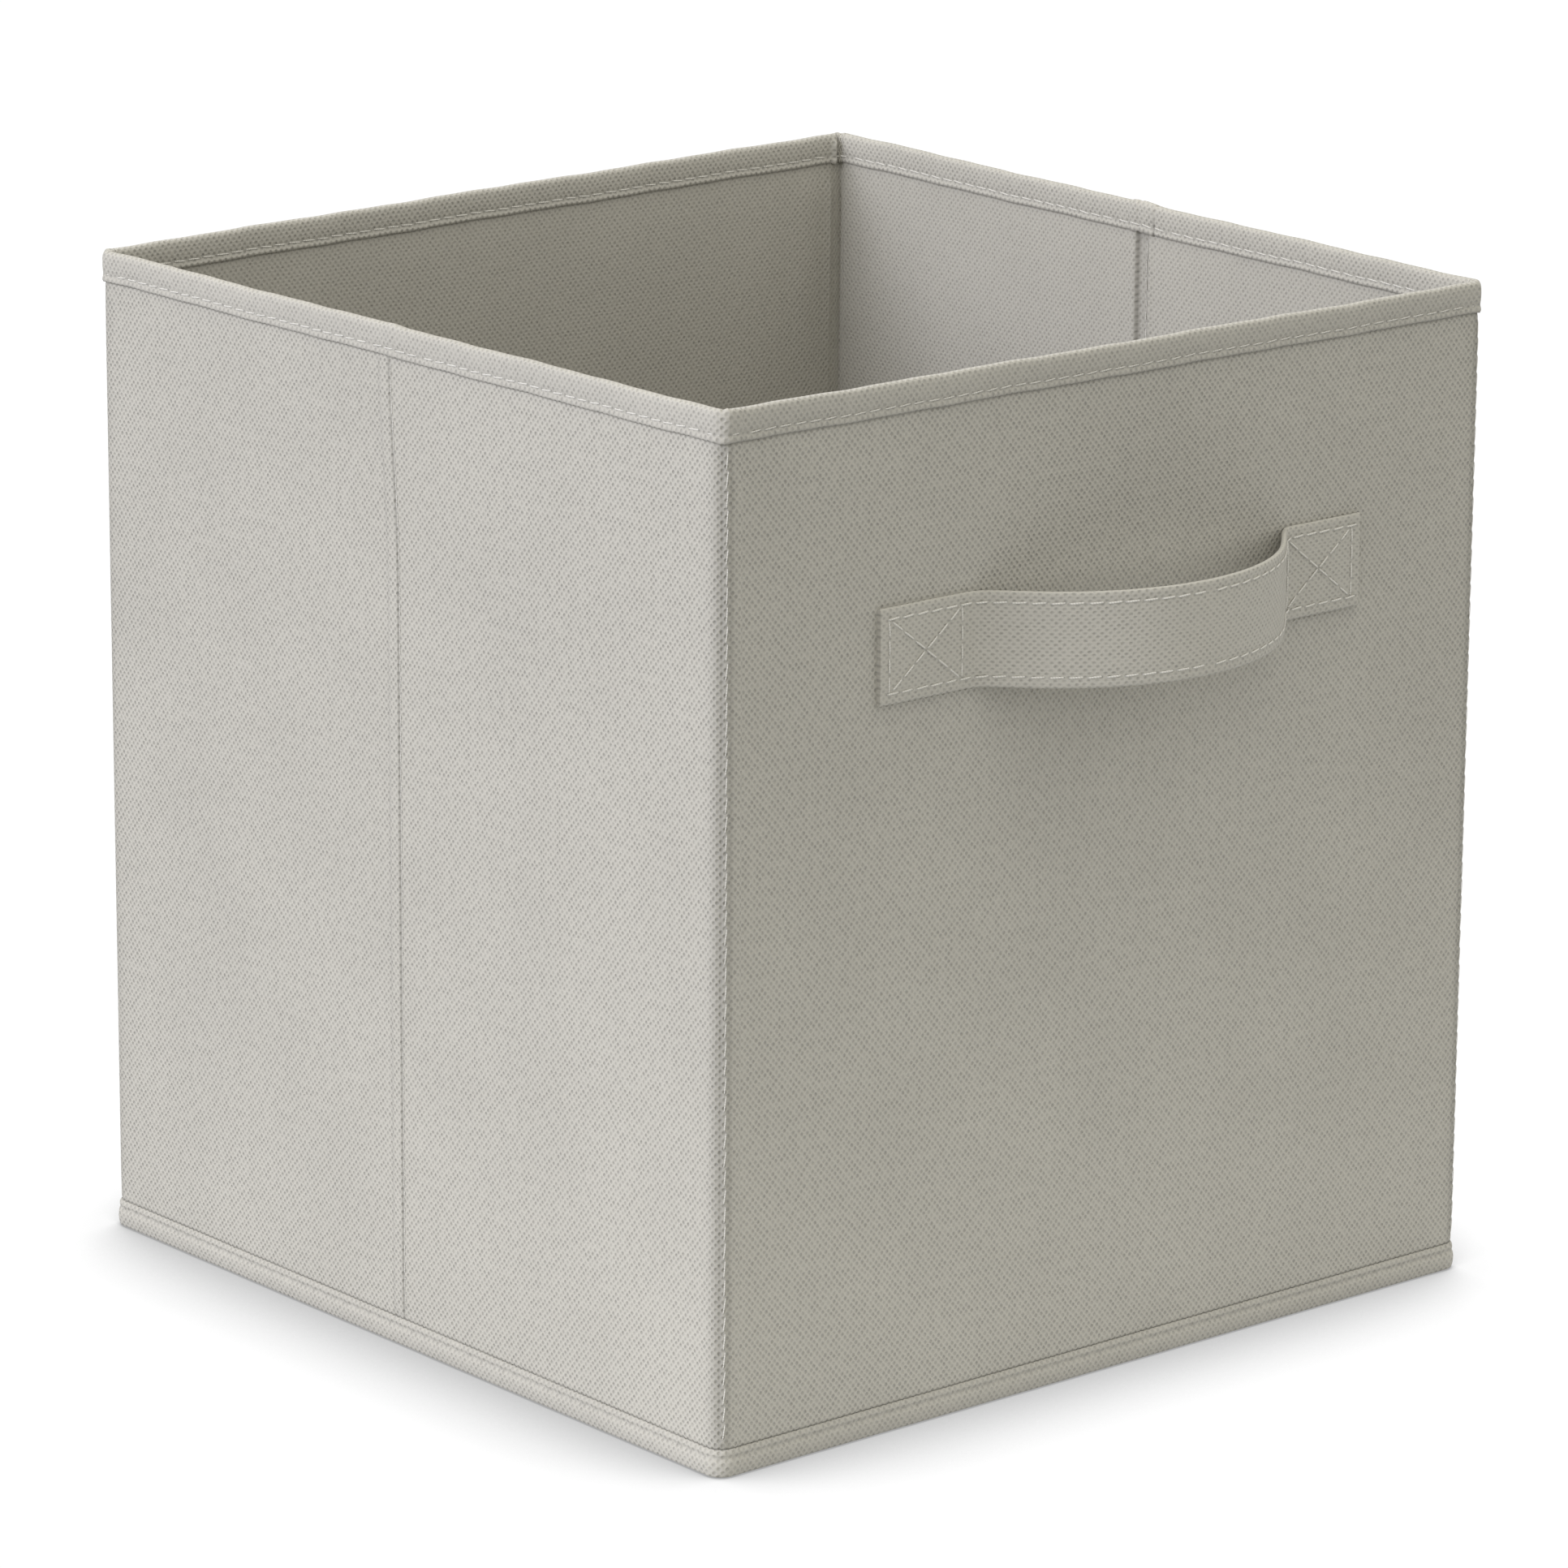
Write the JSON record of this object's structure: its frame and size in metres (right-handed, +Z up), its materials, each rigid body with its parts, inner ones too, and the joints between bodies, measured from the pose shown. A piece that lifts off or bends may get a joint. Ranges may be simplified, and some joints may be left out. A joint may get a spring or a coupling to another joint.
{
  "type": "fabric storage bin",
  "caption": "Folding fabric storage bin: an open square box of cloth over stiffening boards, with a bound rim, creased side walls, a strap handle and a loose base board.",
  "frame": {"origin": "on the floor under the middle of the bin, the middle of the flat base", "axes": "+Z up, -Y towards the front wall with the handle, +X to the right seen from the front"},
  "size_m": [0.2678, 0.2975, 0.28],
  "materials": {
    "outer_fabric": "embossed non-woven polypropylene cloth, warm light grey, matt",
    "lining_fabric": "embossed non-woven polypropylene cloth, warm grey, matt",
    "binding_fabric": "embossed non-woven tape, warm light grey, matt, top-stitched",
    "strap_fabric": "doubled non-woven strap with stitched edges, matt",
    "stiffener_board": "plain grey-brown chipboard",
    "sewing_thread": "pale spun sewing thread"
  },
  "bodies": {
    "back_wall": {"back_outer_cover": "outer_fabric", "back_stiffener_board": "stiffener_board", "back_lining": "lining_fabric", "back_top_binding": "binding_fabric", "back_bottom_binding": "binding_fabric", "base_sheet": "outer_fabric"},
    "left_rear_half": {"left_rear_outer_cover": "outer_fabric", "left_rear_stiffener_board": "stiffener_board", "left_rear_lining": "lining_fabric", "left_rear_top_binding": "binding_fabric", "left_rear_bottom_binding": "binding_fabric", "left_crease_seam": "outer_fabric"},
    "left_front_half": {"left_front_outer_cover": "outer_fabric", "left_front_stiffener_board": "stiffener_board", "left_front_lining": "lining_fabric", "left_front_top_binding": "binding_fabric", "left_front_bottom_binding": "binding_fabric"},
    "front_wall": {"front_outer_cover": "outer_fabric", "front_stiffener_board": "stiffener_board", "front_lining": "lining_fabric", "front_top_binding": "binding_fabric", "front_bottom_binding": "binding_fabric", "handle_left_end": "strap_fabric", "handle_right_end": "strap_fabric"},
    "right_rear_half": {"right_rear_outer_cover": "outer_fabric", "right_rear_stiffener_board": "stiffener_board", "right_rear_lining": "lining_fabric", "right_rear_top_binding": "binding_fabric", "right_rear_bottom_binding": "binding_fabric", "right_crease_seam": "outer_fabric"},
    "right_front_half": {"right_front_outer_cover": "outer_fabric", "right_front_stiffener_board": "stiffener_board", "right_front_lining": "lining_fabric", "right_front_top_binding": "binding_fabric", "right_front_bottom_binding": "binding_fabric"},
    "handle": {"handle_strap": "strap_fabric"},
    "loose_base": {"base_board": "stiffener_board", "base_board_sleeve": "lining_fabric"}
  },
  "joints": [
    {"name": "side_fold", "type": "hinge", "parent": "back_wall", "child": "left_rear_half", "pos_m": [-0.1304, 0.1304, 0.14], "axis": [0, 0, 1], "range_deg": [0, 86], "deforming": ["front_bottom_binding", "left_rear_bottom_binding", "left_front_bottom_binding", "right_rear_bottom_binding", "right_front_bottom_binding", "base_sheet"]},
    {"name": "left_crease_fold", "type": "hinge", "parent": "left_rear_half", "child": "left_front_half", "pos_m": [-0.1334, 0, 0.14], "axis": [0, 0, 1], "range_deg": [-172, 0]},
    {"name": "front_wall_fold", "type": "hinge", "parent": "left_front_half", "child": "front_wall", "pos_m": [-0.1304, -0.1304, 0.14], "axis": [0, 0, 1], "range_deg": [0, 86]},
    {"name": "right_front_fold", "type": "hinge", "parent": "front_wall", "child": "right_front_half", "pos_m": [0.1304, -0.1304, 0.14], "axis": [0, 0, 1], "range_deg": [0, 86]},
    {"name": "right_crease_fold", "type": "hinge", "parent": "right_front_half", "child": "right_rear_half", "pos_m": [0.1334, 0, 0.14], "axis": [0, 0, 1], "range_deg": [-172, 0]},
    {"name": "handle_swing", "type": "hinge", "parent": "front_wall", "child": "handle", "pos_m": [0, -0.133, 0.2098], "axis": [1, 0, 0], "range_deg": [-35, 35], "stiffness_Nm_per_rad": 0.05},
    {"name": "base_board_lift", "type": "slide", "parent": "back_wall", "child": "loose_base", "axis": [0, 0, 1], "range_m": [0, 0.3]}
  ],
  "couplings": [
    {"joint": "left_crease_fold", "follows": "side_fold", "ratio": -2},
    {"joint": "front_wall_fold", "follows": "side_fold", "ratio": 1},
    {"joint": "right_front_fold", "follows": "side_fold", "ratio": 1},
    {"joint": "right_crease_fold", "follows": "side_fold", "ratio": -2}
  ]
}
